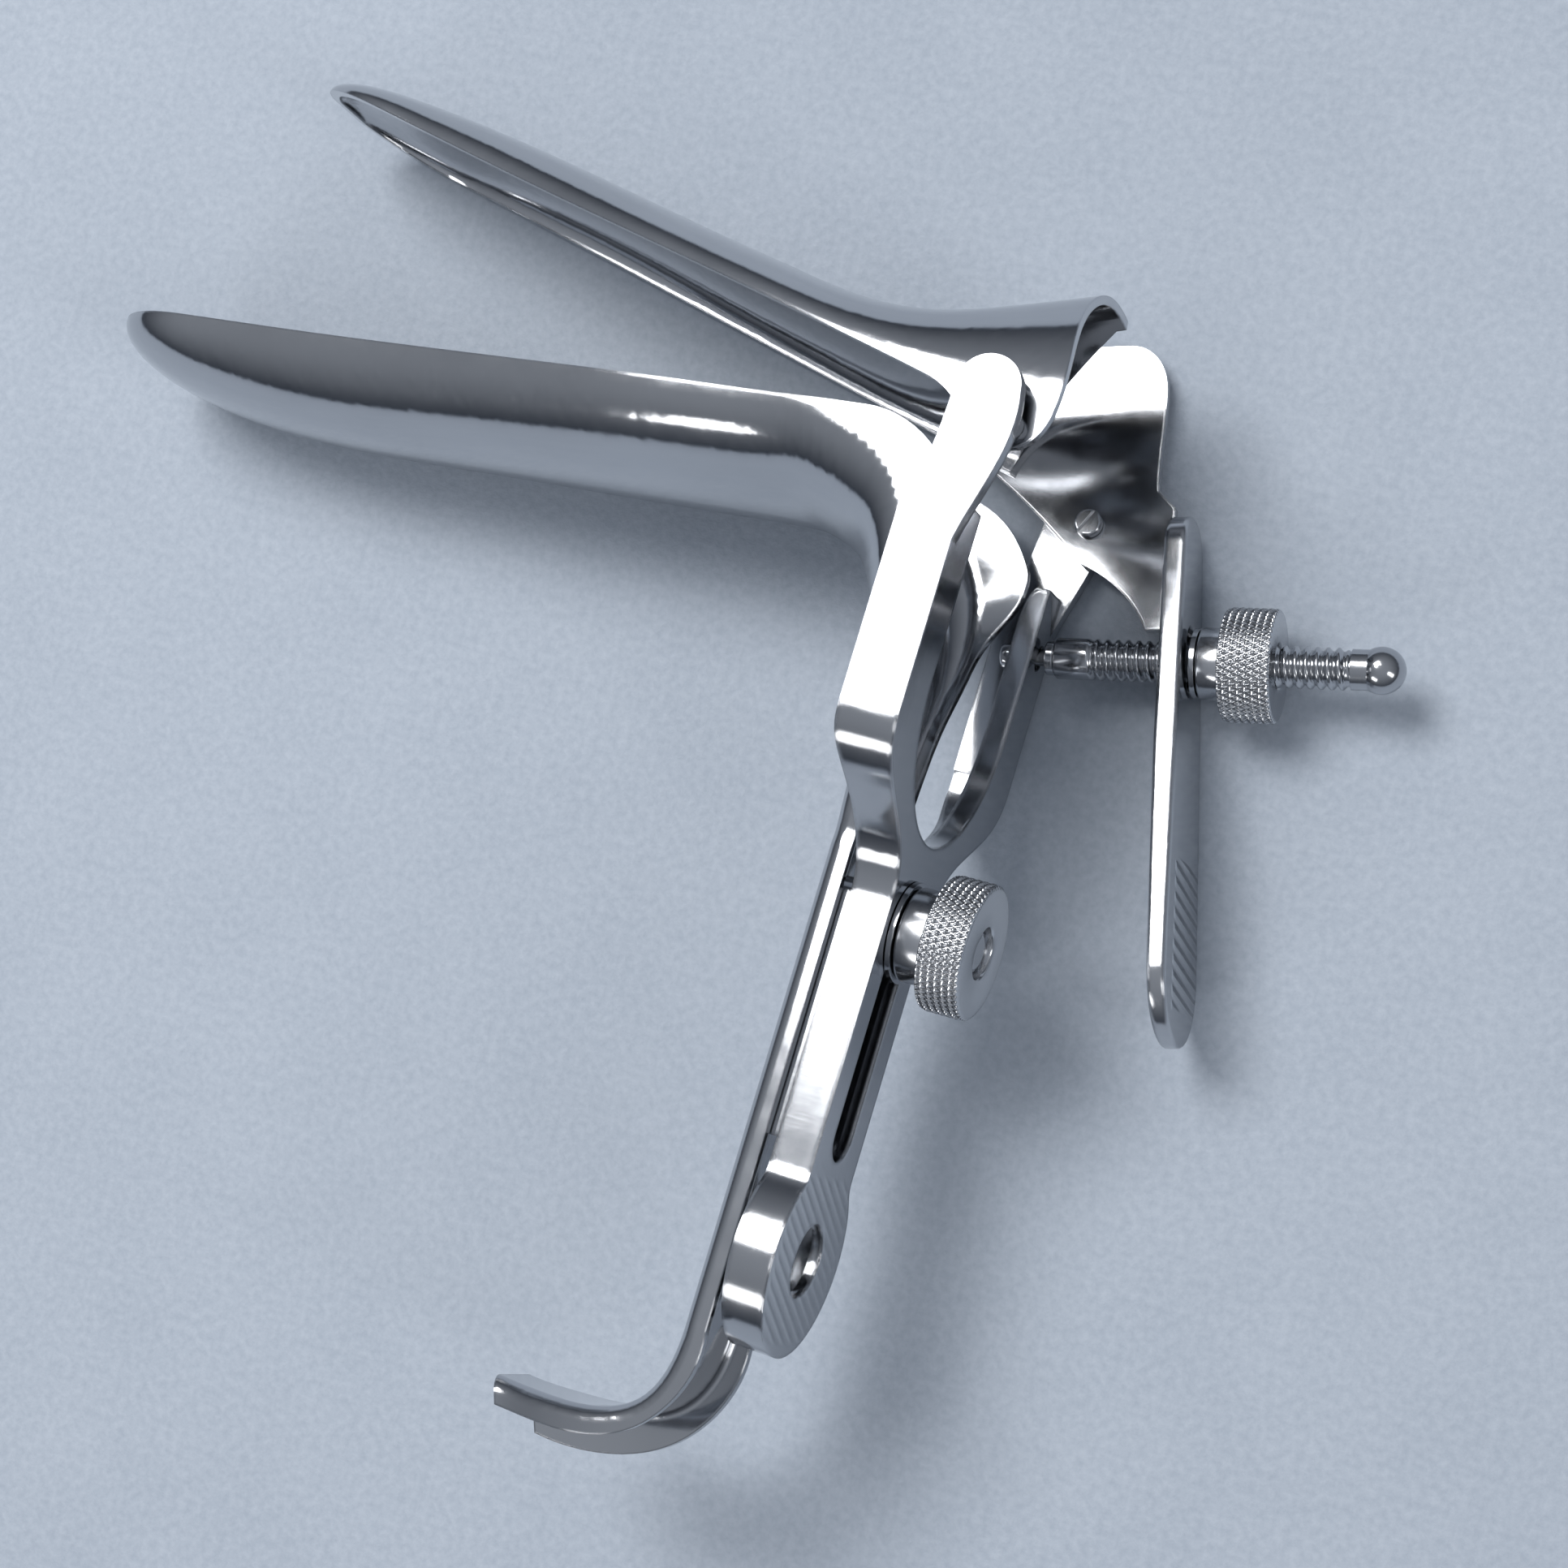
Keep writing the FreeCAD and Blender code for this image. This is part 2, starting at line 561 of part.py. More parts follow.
def ear_outline():
    """Side view of an arm's upper end with its ear."""
    low = SHOULDER_TOP - 3
    top_round = 3.5
    front = Part.BSplineCurve()
    front.interpolate([V(-ARM_DEPTH, WEB_TOP - 5, 0), V(-5.2, 50.0, 0), V(EAR_FRONT, EAR_TOP - top_round, 0)],
                      InitialTangent=V(0, 1, 0))
    crown = Part.Arc(V(EAR_FRONT, EAR_TOP - top_round, 0), V((EAR_FRONT + EAR_REAR) / 2, EAR_TOP, 0),
                     V(EAR_REAR, EAR_TOP - top_round, 0)).toShape()
    rear = Part.BSplineCurve()
    rear.interpolate([V(EAR_REAR, EAR_TOP - top_round, 0), V(EAR_REAR - 0.2, 50.0, 0), V(1.2, 45.2, 0), V(0, 40.5, 0)],
                     FinalTangent=V(0, -1, 0))
    return [line(V(-ARM_DEPTH, low, 0), V(-ARM_DEPTH, WEB_TOP - 5, 0)), front.toShape(), crown, rear.toShape(),
            line(V(0, 40.5, 0), V(0, low, 0)), line(V(0, low, 0), V(-ARM_DEPTH, low, 0))]


def flange_outline():
    """Side view of the outer flanges: shallow on the stem, deeper up the arms."""
    foot = PAD_CENTRE_Y - PAD_HALF - 5
    arm_start = V(-ARM_DEPTH, SHOULDER_TOP - 2, 0)
    taper = Part.BSplineCurve()
    taper.interpolate([V(-STEM_DEPTH, SHOULDER_BOTTOM, 0), V(-5.4, 8.5, 0), V(-5.8, 13.5, 0), arm_start],
                      InitialTangent=V(0, 1, 0), FinalTangent=V(0, 1, 0))
    return [line(V(1, foot, 0), V(-STEM_DEPTH, foot, 0)), line(V(-STEM_DEPTH, foot, 0), V(-STEM_DEPTH, SHOULDER_BOTTOM, 0)),
            taper.toShape(), line(arm_start, V(-ARM_DEPTH, WEB_TOP + 5, 0)),
            line(V(-ARM_DEPTH, WEB_TOP + 5, 0), V(1, WEB_TOP + 5, 0)), line(V(1, WEB_TOP + 5, 0), V(1, foot, 0))]


def lip_outline():
    """Side view of the turned lip round the fork, rounded off at the arms' tops."""
    start = V(-FORK_LIP_DEPTH, WEB_TOP - 5, 0)
    return [line(V(-FORK_LIP_DEPTH, 0, 0), start), quarter(start, V(-FORK_LIP_DEPTH, WEB_TOP, 0), V(-YOKE_SHEET, WEB_TOP, 0)),
            line(V(-YOKE_SHEET, WEB_TOP, 0), V(0, WEB_TOP, 0)), line(V(0, WEB_TOP, 0), V(0, 0, 0)),
            line(V(0, 0, 0), V(-FORK_LIP_DEPTH, 0, 0))]


def make_yoke():
    """Pressed channel: a web at the rear with flanges forward, open towards the handle."""
    outer = extrude_zy(yoke_outline(0, WEB_TOP), -ARM_DEPTH, 0)
    outer = outer.common(extrude_xy(flange_outline(), -40, 40))
    hollow = extrude_zy(yoke_outline(YOKE_SHEET, WEB_TOP + 2), -ARM_DEPTH - 2, -YOKE_SHEET)
    body = outer.cut(hollow)
    lip = extrude_zy(fork_opening(YOKE_SHEET, WEB_TOP), -FORK_LIP_DEPTH, 0)
    inside = extrude_zy(yoke_outline(YOKE_SHEET / 2, WEB_TOP), -ARM_DEPTH, 0)
    lip = lip.common(inside).common(extrude_xy(lip_outline(), -40, 40))
    body = body.fuse(lip)
    body = body.cut(extrude_zy(fork_opening(0, WEB_TOP + 20), -20, 5))
    for side in (1, -1):
        low_z = side * YOKE_HALF if side < 0 else YOKE_HALF - YOKE_EAR_SHEET
        ear = extrude_xy(ear_outline(), low_z, low_z + YOKE_EAR_SHEET)
        outline_low = Part.makeBox(60, 60, 80, V(-30, SHOULDER_TOP + 1, -40))
        body = body.fuse(ear.common(outline_low))
    body = body.removeSplitter()
    body = round_outer_bends(body)
    key_half = CHANNEL_HALF - BLADE_SHEET - SLIDE_GAP
    key_front = CHANNEL_FRONT + BLADE_SHEET + SLIDE_GAP
    for side in (1, -1):
        z0 = side * key_half if side < 0 else key_half - STEM_KEY_SHEET
        foot = SLOT_BOTTOM + 1
        key = Part.makeBox(-YOKE_SHEET / 2 - key_front, SHOULDER_BOTTOM - foot, STEM_KEY_SHEET, V(key_front, foot, z0))
        body = body.fuse(key)
    half = SLOT_WIDTH / 2
    slot = rod(half, -4, 1, (SLOT_BOTTOM + half, 0)).fuse(rod(half, -4, 1, (SLOT_TOP - half, 0)))
    slot = slot.fuse(Part.makeBox(5, SLOT_TOP - SLOT_BOTTOM - SLOT_WIDTH, SLOT_WIDTH, V(-4, SLOT_BOTTOM + half, -half)))
    body = body.cut(slot)
    body = body.cut(rod(PAD_HOLE / 2, -10, 1, (PAD_CENTRE_Y, 0)))
    blind = YOKE_HALF - 0.45
    body = body.cut(Part.makeCylinder(SCREW_SHANK / 2 + RIVET_GAP, blind + 30, V(PIVOT_X, PIVOT_Y, -30), V(0, 0, 1)))
    anchor = rod(ROD_NECK / 2 + 0.1, -4, 1, (ROD_ANCHOR_Y - 0.55, ROD_Z))
    anchor = anchor.fuse(rod(ROD_NECK / 2 + 0.1, -4, 1, (ROD_ANCHOR_Y + 0.55, ROD_Z)))
    anchor = anchor.fuse(Part.makeBox(5, 1.1, ROD_NECK + 0.2, V(-4, ROD_ANCHOR_Y - 0.55, ROD_Z - ROD_NECK / 2 - 0.1)))
    return body.cut(anchor).removeSplitter()


def round_outer_bends(body):
    """The pressing's rounded bend, all round the outer edge of its rear face."""
    def on_rear_outer(edge):
        mid = edge.valueAt((edge.FirstParameter + edge.LastParameter) / 2)
        inside_fork = mid.y > FORK_BOTTOM - 1 and abs(mid.z) < FORK_HALF + 1
        return abs(mid.x) < 0.01 and mid.y < WEB_TOP - 2 and not inside_fork and edge.Length > 1
    return round_edges(body, BEND_ROUND, on_rear_outer)


# Screws and spacer at the pivots

def slotted_screw(head_z, tip_z, slot_angle):
    """Cheese-head screw along Z through the pivot, its head's face towards the middle."""
    way = 1 if tip_z > head_z else -1
    seat = head_z + way * SCREW_HEAD_HEIGHT
    axis = V(0, 0, way)
    head = Part.makeCylinder(SCREW_HEAD / 2, SCREW_HEAD_HEIGHT, V(PIVOT_X, PIVOT_Y, head_z), axis)
    head = round_edges(head, 0.35, lambda e: abs(e.CenterOfMass.z - head_z) < 0.01)
    shank = Part.makeCylinder(SCREW_SHANK / 2, abs(tip_z - seat), V(PIVOT_X, PIVOT_Y, seat), axis)
    slot = Part.makeBox(SCREW_SLOT, SCREW_HEAD + 2, 0.9, V(-SCREW_SLOT / 2, -SCREW_HEAD / 2 - 1, -0.45))
    slot.rotate(V(0, 0, 0), V(0, 0, 1), slot_angle)
    slot.translate(V(PIVOT_X, PIVOT_Y, head_z))
    return head.fuse(shank).cut(slot).removeSplitter()


# Screw rod with its collar, ball and nut, drawn along X and then tilted into place

def on_rod(shape):
    """From the rod's own axis (X from its anchor) to its place on the yoke."""
    out = turn(shape, ROD_TILT)
    out.translate(ROD_ANCHOR)
    return out


def make_screw_rod():
    """Head rounded about the swing, neck in the yoke's hole, shank and thread at its crest."""
    seat = ROD_HEAD_LENGTH - ROD_HEAD_REACH
    head = rod(ROD_HEAD / 2, -ROD_HEAD_REACH - 1, seat)
    head = head.common(Part.makeCylinder(ROD_HEAD_REACH, 10, V(0, 0, -5)))
    neck = rod(ROD_NECK / 2, seat - 1, COLLAR_START + COLLAR_LENGTH)
    plain = rod(ROD_DIAMETER / 2, COLLAR_START + COLLAR_LENGTH, ROD_THREAD_START)
    body = head.fuse([neck, plain])
    thread = rod(ROD_DIAMETER / 2, ROD_THREAD_START, ROD_THREAD_END)
    end = rod(ROD_CORE / 2, ROD_THREAD_END, ROD_END)
    return on_rod(body.fuse([thread, end]).removeSplitter())


def make_collar():
    ring = rod(COLLAR_DIAMETER / 2, COLLAR_START, COLLAR_START + COLLAR_LENGTH - 0.05)
    ring = round_edges(ring, 0.25, lambda e: True)
    return on_rod(ring.cut(rod(ROD_NECK / 2 + RIVET_GAP, 0, 5)))


def make_ball():
    """Ball with a short collar, drilled for the rod's end."""
    ball = Part.makeSphere(BALL_DIAMETER / 2, V(BALL_CENTRE, 0, 0))
    collar = rod(ROD_CORE / 2 + 0.35, BALL_CENTRE - 3.4, BALL_CENTRE)
    bore = rod(ROD_CORE / 2 + RIVET_GAP, BALL_CENTRE - 5, ROD_END + 0.05)
    return on_rod(ball.fuse(collar).cut(bore))


def knurled_nut(start, hub, hub_length, head, head_length, bore, recess, recess_depth):
    """Thumb nut along X: smooth hub towards the work, wide rim to be knurled."""
    seat = start + hub_length
    end = seat + head_length
    body = rod(hub / 2, start, seat + 0.5)
    body = round_edges(body, 0.4, lambda e: abs(e.CenterOfMass.x - start) < 0.01)
    rim = chamfered(head / 2, seat, end)
    body = body.fuse(rim)
    body = body.cut(rod(bore, start - 1, end + 1))
    if recess:
        dish = Part.makeCone(recess / 2 - 0.6, recess / 2, recess_depth, V(end - recess_depth, 0, 0), V(1, 0, 0))
        body = body.cut(dish)
    return body


def chamfered(radius, start, end):
    """Disc along X with a small chamfer at both rims."""
    cut = 0.5
    points = [V(start, 0, 0), V(start, radius - cut, 0), V(start + cut, radius, 0), V(end - cut, radius, 0),
              V(end, radius - cut, 0), V(end, 0, 0)]
    return Part.Face(Part.makePolygon(points + points[:1])).revolve(V(0, 0, 0), V(1, 0, 0), 360)


def washer(start, outer, inner):
    return rod(outer / 2, start, start + WASHER_SHEET).cut(rod(inner / 2, start - 1, start + 2))


ROD_WASHER_START = ROD_NUT_START - WASHER_SHEET - FACE_GAP
THREAD_FIT = 0.06


def make_rod_nut():
    nut = knurled_nut(ROD_NUT_START, ROD_NUT_HUB, ROD_NUT_HUB_LENGTH, ROD_NUT_HEAD, ROD_NUT_HEAD_LENGTH,
                      ROD_DIAMETER / 2 + THREAD_FIT, 0, 0)
    return on_rod(nut)


def make_rod_washer():
    return on_rod(washer(ROD_WASHER_START, ROD_NUT_HUB - 0.2, ROD_DIAMETER + 2 * THREAD_FIT))


# Lock stud, its washer and its nut

STUD_END = FACE_GAP * 2 + WASHER_SHEET + HANDLE_NUT_HUB_LENGTH + HANDLE_NUT_HEAD_LENGTH - 0.5
HANDLE_NUT_START = FACE_GAP * 2 + WASHER_SHEET


def make_stud():
    """Stud riveted in the channel's web, shouldered behind the yoke's web."""
    rivet = rod(STUD_GUIDE / 2 + 0.9, CHANNEL_FRONT - 0.8, CHANNEL_FRONT)
    rivet = round_edges(rivet, 0.5, lambda e: abs(e.CenterOfMass.x - CHANNEL_FRONT + 0.8) < 0.01)
    shank = rod(STUD_GUIDE / 2, CHANNEL_FRONT - 0.2, CHANNEL_FRONT + BLADE_SHEET + 0.5)
    shoulder = rod(STUD_SHOULDER / 2, CHANNEL_FRONT + BLADE_SHEET, -YOKE_SHEET - FACE_GAP)
    guide = rod(STUD_GUIDE / 2, -YOKE_SHEET - 0.5, -FACE_GAP)
    thread = rod(STUD_THREAD / 2, -YOKE_SHEET, STUD_END)
    thread = round_edges(thread, 0.9, lambda e: abs(e.CenterOfMass.x - STUD_END) < 0.01)
    return rivet.fuse([shank, shoulder, guide, thread]).removeSplitter()


def make_handle_washer():
    return washer(FACE_GAP, HANDLE_NUT_HUB + 0.8, STUD_THREAD + 2 * THREAD_FIT)


def make_handle_nut():
    return knurled_nut(HANDLE_NUT_START, HANDLE_NUT_HUB, HANDLE_NUT_HUB_LENGTH, HANDLE_NUT_HEAD,
                       HANDLE_NUT_HEAD_LENGTH, STUD_THREAD / 2 + THREAD_FIT, NUT_RECESS, NUT_RECESS_DEPTH)


SCREW_GAP = 0.15
NEAR_HEAD = MOUTH_HALF - BLADE_SHEET - SCREW_GAP - SCREW_HEAD_HEIGHT
FAR_HEAD = PLATE_IN + SCREW_GAP + SCREW_HEAD_HEIGHT
NEAR_TIP = YOKE_HALF - 0.5


def make_spacer():
    """Bush that fills the room between the blade's near ear and the yoke's ear."""
    start = MOUTH_HALF + 0.12
    length = YOKE_HALF - YOKE_EAR_SHEET - 0.12 - start
    bush = Part.makeCylinder(SCREW_HEAD / 2, length, V(PIVOT_X, PIVOT_Y, start))
    return bush.cut(Part.makeCylinder(SCREW_SHANK / 2 + RIVET_GAP, 60, V(PIVOT_X, PIVOT_Y, -30)))


def build():
    """Every piece on the working frame, by name."""
    return {
        "lower_blade": make_lower_blade(),
        "handle_stud": make_stud(),
        "handle_washer": make_handle_washer(),
        "handle_nut": make_handle_nut(),
        "yoke": make_yoke(),
        "near_pivot_screw": slotted_screw(NEAR_HEAD, NEAR_TIP, 20),
        "far_pivot_screw": slotted_screw(FAR_HEAD, -YOKE_HALF, -25),
        "near_pivot_spacer": make_spacer(),
        "upper_blade": make_upper_blade(),
        "side_plate": make_side_plate(),
        "thumb_lever": make_thumb_lever(),
        "screw_rod": make_screw_rod(),
        "rod_collar": make_collar(),
        "rod_ball": make_ball(),
        "rod_washer": make_rod_washer(),
        "rod_nut": make_rod_nut(),
    }


# Resting place: the instrument lies on its far side on three feet, which are the
# lower blade's far rim, the thumb lever's lower end and the rod nut's rim

FEET = ("lower_blade", "thumb_lever", "rod_nut")


def lowest(shape, rotation, keep):
    """The lowest vertex of a foot's mesh once it is turned, on the working frame."""
    points = [p for p in shape.tessellate(0.1)[0] if keep(p)]
    return min(points, key=lambda p: rotation.multVec(p).z)


def resting_rotation(pieces):
    """Turns the plane through the three feet level, in a few passes."""
    rotation = FreeCAD.Rotation()
    keeps = (lambda p: p.x < -60, lambda p: p.y < 20, lambda p: True)
    for _ in range(6):
        feet = [lowest(pieces[name], rotation, keep) for name, keep in zip(FEET, keeps)]
        normal = (feet[1] - feet[0]).cross(feet[2] - feet[0]).normalize()
        if normal.z < 0:
            normal = normal * -1
        rotation = FreeCAD.Rotation(normal, V(0, 0, 1))
    return rotation


def resting_placement(pieces):
    """Level on the table, with the origin under the middle of the bounding box."""
    rotation = resting_rotation(pieces)
    box = FreeCAD.BoundBox()
    for shape in pieces.values():
        for point in shape.tessellate(0.05)[0]:
            box.add(rotation.multVec(point))
    centre = V((box.XMin + box.XMax) / 2, (box.YMin + box.YMax) / 2, box.ZMin)
    return FreeCAD.Placement(centre * -1, rotation)


pieces = build()
placement = resting_placement(pieces)
os.makedirs("parts", exist_ok=True)
for name, shape in pieces.items():
    placed = shape.copy()
    placed.Placement = placement.multiply(placed.Placement)
    placed.exportStep("parts/" + name + ".step")
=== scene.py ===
"""Looks of the bivalve speculum: polished steel on a plain pale grey-blue sheet."""
import json
import math

import bpy
from mathutils import Matrix, Vector


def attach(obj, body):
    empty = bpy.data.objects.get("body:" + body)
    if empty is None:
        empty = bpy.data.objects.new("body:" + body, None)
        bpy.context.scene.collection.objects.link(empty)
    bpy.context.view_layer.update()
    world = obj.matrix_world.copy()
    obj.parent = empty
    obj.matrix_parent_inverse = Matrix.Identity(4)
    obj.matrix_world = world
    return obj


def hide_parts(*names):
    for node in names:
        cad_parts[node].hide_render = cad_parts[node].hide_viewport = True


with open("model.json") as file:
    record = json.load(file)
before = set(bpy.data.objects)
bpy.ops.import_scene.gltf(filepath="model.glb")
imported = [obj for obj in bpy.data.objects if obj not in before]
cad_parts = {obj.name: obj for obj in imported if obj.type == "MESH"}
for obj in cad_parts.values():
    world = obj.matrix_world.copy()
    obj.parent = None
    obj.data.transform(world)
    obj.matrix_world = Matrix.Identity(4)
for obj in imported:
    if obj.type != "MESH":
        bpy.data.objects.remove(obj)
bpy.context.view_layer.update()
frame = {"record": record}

MM = 0.001
FULL_TURN = 2 * math.pi

# Working frame of the instrument, read from its joints: X rearward along the lock
# stud, Y up the handle, Z towards the side that faces the camera
JOINTS = {j["name"]: j for j in frame["record"]["behaviour"]["joints"]}
AXIS_X = Vector(JOINTS["lock_travel"]["axis"]).normalized()
AXIS_Y = Vector(JOINTS["yoke_slide"]["axis"]).normalized()
AXIS_Z = Vector(JOINTS["blade_fold"]["axis"]).normalized()
ORIGIN = Vector(JOINTS["lock_nut_turn"]["pos_m"])
ROD_AXIS = Vector(JOINTS["nut_travel"]["axis"]).normalized()
ROD_ANCHOR = Vector(JOINTS["rod_swing"]["pos_m"])


def direction(x, y, z):
    """Instrument direction in the model's frame."""
    return AXIS_X * x + AXIS_Y * y + AXIS_Z * z


def at(x, y, z):
    """Instrument point in millimetres, in the model's frame in metres."""
    return ORIGIN + direction(x, y, z) * MM


def clamp(value):
    """The value held between 0 and 1."""
    return min(max(value, 0.0), 1.0)


# Camera: place and aim on the instrument, and the lens that the photograph was taken with
CAMERA_PLACE = (100.9, -19.03, 300.15)
CAMERA_RIGHT = (0.8987, 0.2896, -0.3293)
CAMERA_DOWN = (0.2353, -0.9521, -0.1953)
FOCAL_PIXELS = 3450.0
IMAGE_PIXELS = 1932.0
SENSOR = 36.0
CLIP_NEAR = 0.01
CLIP_FAR = 20.0


def make_camera():
    """Camera at the place that the photograph was taken from."""
    data = bpy.data.cameras.new("camera")
    data.sensor_width = SENSOR
    data.lens = SENSOR * FOCAL_PIXELS / IMAGE_PIXELS
    data.clip_start = CLIP_NEAR
    data.clip_end = CLIP_FAR
    camera = bpy.data.objects.new("camera", data)
    bpy.context.collection.objects.link(camera)
    right = direction(*CAMERA_RIGHT).normalized()
    up = -direction(*CAMERA_DOWN).normalized()
    back = right.cross(up).normalized()
    up = back.cross(right).normalized()
    turn = Matrix((right, up, back)).transposed()
    camera.matrix_world = Matrix.Translation(at(*CAMERA_PLACE)) @ turn.to_4x4()
    bpy.context.scene.camera = camera


# Materials

# Colour sockets of a mix node
MIX_A = 6
MIX_B = 7
MIX_RESULT = 2


class Nodes:
    """Short helper for building a material's node tree."""

    def __init__(self, name):
        self.material = bpy.data.materials.new(name)
        self.material.use_nodes = True
        self.tree = self.material.node_tree
        self.shader = self.tree.nodes["Principled BSDF"]

    def fill(self, node, inputs):
        """Link a node's inputs to outputs, or set them to plain values."""
        for key, value in inputs.items():
            if isinstance(value, bpy.types.NodeSocket):
                self.tree.links.new(value, node.inputs[key])
            else:
                node.inputs[key].default_value = value

    def add(self, kind, inputs=None, **settings):
        """New node with its settings and inputs."""
        node = self.tree.nodes.new(kind)
        for key, value in settings.items():
            setattr(node, key, value)
        self.fill(node, inputs or {})
        return node

    def noise(self, place, scale, detail=4.0, roughness=0.6):
        """Noise from 0 to 1."""
        inputs = {"Vector": place, "Scale": scale, "Detail": detail, "Roughness": roughness}
        return self.add("ShaderNodeTexNoise", inputs).outputs["Fac"]

    def ramp(self, factor, stops, values):
        """Ramp between two stops of the factor, from one grey value or colour to another."""
        node = self.add("ShaderNodeValToRGB", {"Fac": factor})
        for element, place, value in zip(node.color_ramp.elements, stops, values):
            element.position = place
            element.color = (value, value, value, 1) if isinstance(value, float) else (*value, 1)
        return node.outputs["Color"]

    def math(self, operation, a, b=0.0):
        """Sum, product or other figure of one or two values."""
        return self.add("ShaderNodeMath", {0: a, 1: b}, operation=operation).outputs[0]

    def measure(self, place, axis, zero):
        """Distance in millimetres along an axis from a point."""
        shift = self.add("ShaderNodeVectorMath", {0: place, 1: zero}, operation="SUBTRACT")
        inputs = {0: shift.outputs["Vector"], 1: axis}
        along = self.add("ShaderNodeVectorMath", inputs, operation="DOT_PRODUCT")
        return self.math("MULTIPLY", along.outputs["Value"], 1 / MM)

    def bump(self, height, strength, distance, normal=None):
        """Relief on top of the one before it."""
        inputs = {"Height": height, "Strength": strength, "Distance": distance}
        if normal:
            inputs["Normal"] = normal
        return self.add("ShaderNodeBump", inputs).outputs["Normal"]


# Finish of the steel: noises by scale per metre, detail and roughness, the stops at which
# they set in and are full, their shares of the tone or roughness, and heights in metres
SMUDGES = (45.0, 5.0)
SMUDGE_STOPS = (0.3, 0.7)
SMUDGE_TONE = 0.93
HAZE_STOPS = (0.35, 0.75)
HAZE_SHARE = 0.5
MATT_SPOTS = (320.0, 6.0, 0.7)
MATT_STOPS = (0.25, 0.75)
MATT_SHARES = (0.7, 1.3)
WAVES = (70.0, 1.0, 0.4)
WAVE_HEIGHT = 0.00015
PRESSED_WAVE = 0.14
TURNED_WAVE = 0.05
HAIRLINE_HEIGHT = 0.00002
EDGE_SAMPLES = 4

# Two crossing sets of hairlines: stretch and turn of the noise, its scale, detail and
# roughness, and its share of the scratches' strength
HAIRLINES = [
    ((40.0, 900.0, 900.0), (0.3, 0.2, 0.5), (1.6, 4.0, 0.65), 1.0),
    ((700.0, 60.0, 700.0), (0.1, 0.4, -0.3), (1.3, 3.0, 0.6), 0.7),
]

# Shade painted dark into the hollows between the teeth of knurls and threads: stops of the pointiness,
# and tones
SHADE_PAINT_STOPS = (0.42, 0.49)
SHADE_PAINT_TONES = (0.22, 1.0)


def polished_steel(name, tint, roughness, scratch, edge, wave=PRESSED_WAVE, relief=None, painted_hollow_shade=False):
    """Polished stainless steel: waves, hairlines, smudges, rounded edges, and shade painted into the
    hollows.
    """
    n = Nodes(name)
    place = n.add("ShaderNodeTexCoord").outputs["Object"]
    smudge = n.noise(place, *SMUDGES)
    tone = n.ramp(smudge, SMUDGE_STOPS, ([c * SMUDGE_TONE for c in tint], tint))
    # Painted shade: the tone is darkened in the hollows of knurls and threads
    if painted_hollow_shade:
        pointiness = n.add("ShaderNodeNewGeometry").outputs["Pointiness"]
        hollow_shade = n.ramp(pointiness, SHADE_PAINT_STOPS, SHADE_PAINT_TONES)
        inputs = {"Factor": 1.0, MIX_A: tone, MIX_B: hollow_shade}
        mix = n.add("ShaderNodeMix", inputs, data_type="RGBA", blend_type="MULTIPLY")
        tone = mix.outputs[MIX_RESULT]
    matt = n.ramp(n.noise(place, *MATT_SPOTS), MATT_STOPS, [roughness * share for share in MATT_SHARES])
    haze = n.ramp(smudge, HAZE_STOPS, (0.0, roughness * HAZE_SHARE))
    normal = None
    if edge:
        normal = n.add("ShaderNodeBevel", {"Radius": edge}, samples=EDGE_SAMPLES).outputs["Normal"]
    for stretch, turn, grain, share in HAIRLINES:
        lines = n.add("ShaderNodeMapping", {"Vector": place, "Scale": stretch, "Rotation": turn})
        height = n.noise(lines.outputs["Vector"], *grain)
        normal = n.bump(height, scratch * share, HAIRLINE_HEIGHT, normal)
    normal = n.bump(n.noise(place, *WAVES), wave, WAVE_HEIGHT, normal)
    if relief:
        height, depth = relief(n, place)
        normal = n.bump(height, 1.0, depth, normal)
    n.fill(n.shader, {"Metallic": 1.0, "Base Color": tone, "Roughness": n.math("ADD", matt, haze),
                      "Normal": normal})
    return n.material


# Grip ridges: ribs across the rear face of the lever's lower end, and fainter ones on the
# stem's pad; lengths in mm, depths of the relief in metres
LEVER_TILT = math.radians(14.3)
LEVER_TOP = (11.2, 57.6, -19.1)
LEVER_RIB_DEPTH = 0.0005
PAD_CENTRE = (0, -38.4, 0)
PAD_RIB_DEPTH = 0.00006
RIB_SHARPNESS = 1.6
PATCH_EASE = 0.8
FACE_EASE = 0.05


def within(n, value, low, high, soft):
    """1 between low and high, easing to 0 over soft outside them."""
    rising = {"Value": value, "From Min": low - soft, "From Max": low}
    falling = {"Value": value, "From Min": high, "From Max": high + soft, "To Min": 1.0, "To Max": 0.0}
    rise = n.add("ShaderNodeMapRange", rising).outputs[0]
    fall = n.add("ShaderNodeMapRange", falling).outputs[0]
    return n.math("MULTIPLY", rise, fall)


def ribs(n, place, zero, down, back, slant, pitch, run, width, face):
    """Ribs that climb by slant over the width, on the face that lies between two depths."""
    along = n.measure(place, direction(*down), at(*zero))
    side = n.measure(place, AXIS_Z, at(*zero))
    deep = n.measure(place, direction(*back), at(*zero))
    climb = n.math("ADD", along, n.math("MULTIPLY", side, slant))
    swell = n.math("SINE", n.math("MULTIPLY", climb, FULL_TURN / pitch))
    height = n.math("MULTIPLY", n.math("ADD", swell, 1.0), 0.5)
    patch = n.math("MULTIPLY", within(n, along, *run, PATCH_EASE), within(n, side, *width, PATCH_EASE))
    patch = n.math("MULTIPLY", patch, within(n, deep, *face, FACE_EASE))
    return n.math("MULTIPLY", n.math("POWER", height, RIB_SHARPNESS), patch)


